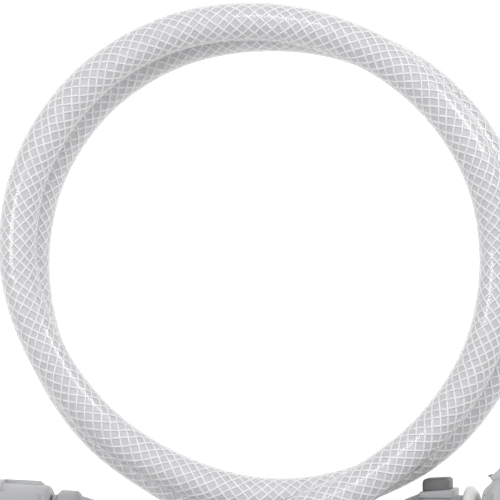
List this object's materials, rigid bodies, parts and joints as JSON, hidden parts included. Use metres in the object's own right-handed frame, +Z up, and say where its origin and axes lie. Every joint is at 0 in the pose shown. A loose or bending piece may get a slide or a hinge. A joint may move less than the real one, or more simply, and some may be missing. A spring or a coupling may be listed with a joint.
{
  "type": "washing machine hose",
  "caption": "Coiled clear braided inlet hose with a union nut on one end and a push-button connector with a tap nut on the other.",
  "frame": {"origin": "under the middle of the part's box, on the floor that the hose lies on", "axes": "+Z up; +Y from the tails across the coil, away from the fittings; +X towards the tap end"},
  "size_m": [0.2306, 0.2382, 0.0461],
  "materials": {
    "hose": "clear flexible PVC, milky through its wall, with a white polyester braid inside",
    "nut_plastic": "moulded light grey plastic, satin",
    "fitting_plastic": "moulded mid grey plastic, satin",
    "button_plastic": "moulded dark grey plastic, satin",
    "nipple_plastic": "milky white plastic, slightly translucent",
    "washer_rubber": "moulded black rubber"
  },
  "bodies": {
    "hose_line": {"hose": "hose", "machine_tail": "fitting_plastic", "machine_ferrule": "fitting_plastic", "machine_washer": "washer_rubber", "tap_connector": "fitting_plastic", "tap_nipple": "nipple_plastic", "tap_washer": "washer_rubber"},
    "machine_nut": {"union_nut": "nut_plastic"},
    "tap_side_nut": {"tap_nut": "nut_plastic"},
    "button": {"release_button": "button_plastic"}
  },
  "joints": [
    {"name": "union_nut_turn", "type": "hinge", "parent": "hose_line", "child": "machine_nut", "pos_m": [-0.10211, -0.09537, 0.01837], "axis": [-0.9965, 0.047, -0.0698], "continuous": true},
    {"name": "tap_nut_turn", "type": "hinge", "parent": "hose_line", "child": "tap_side_nut", "pos_m": [0.09933, -0.09512, 0.02279], "axis": [0.9744, 0, 0.225], "continuous": true},
    {"name": "button_press", "type": "slide", "parent": "hose_line", "child": "button", "axis": [0, -1, 0], "range_m": [0, 0.0022], "stiffness_N_per_m": 600}
  ]
}
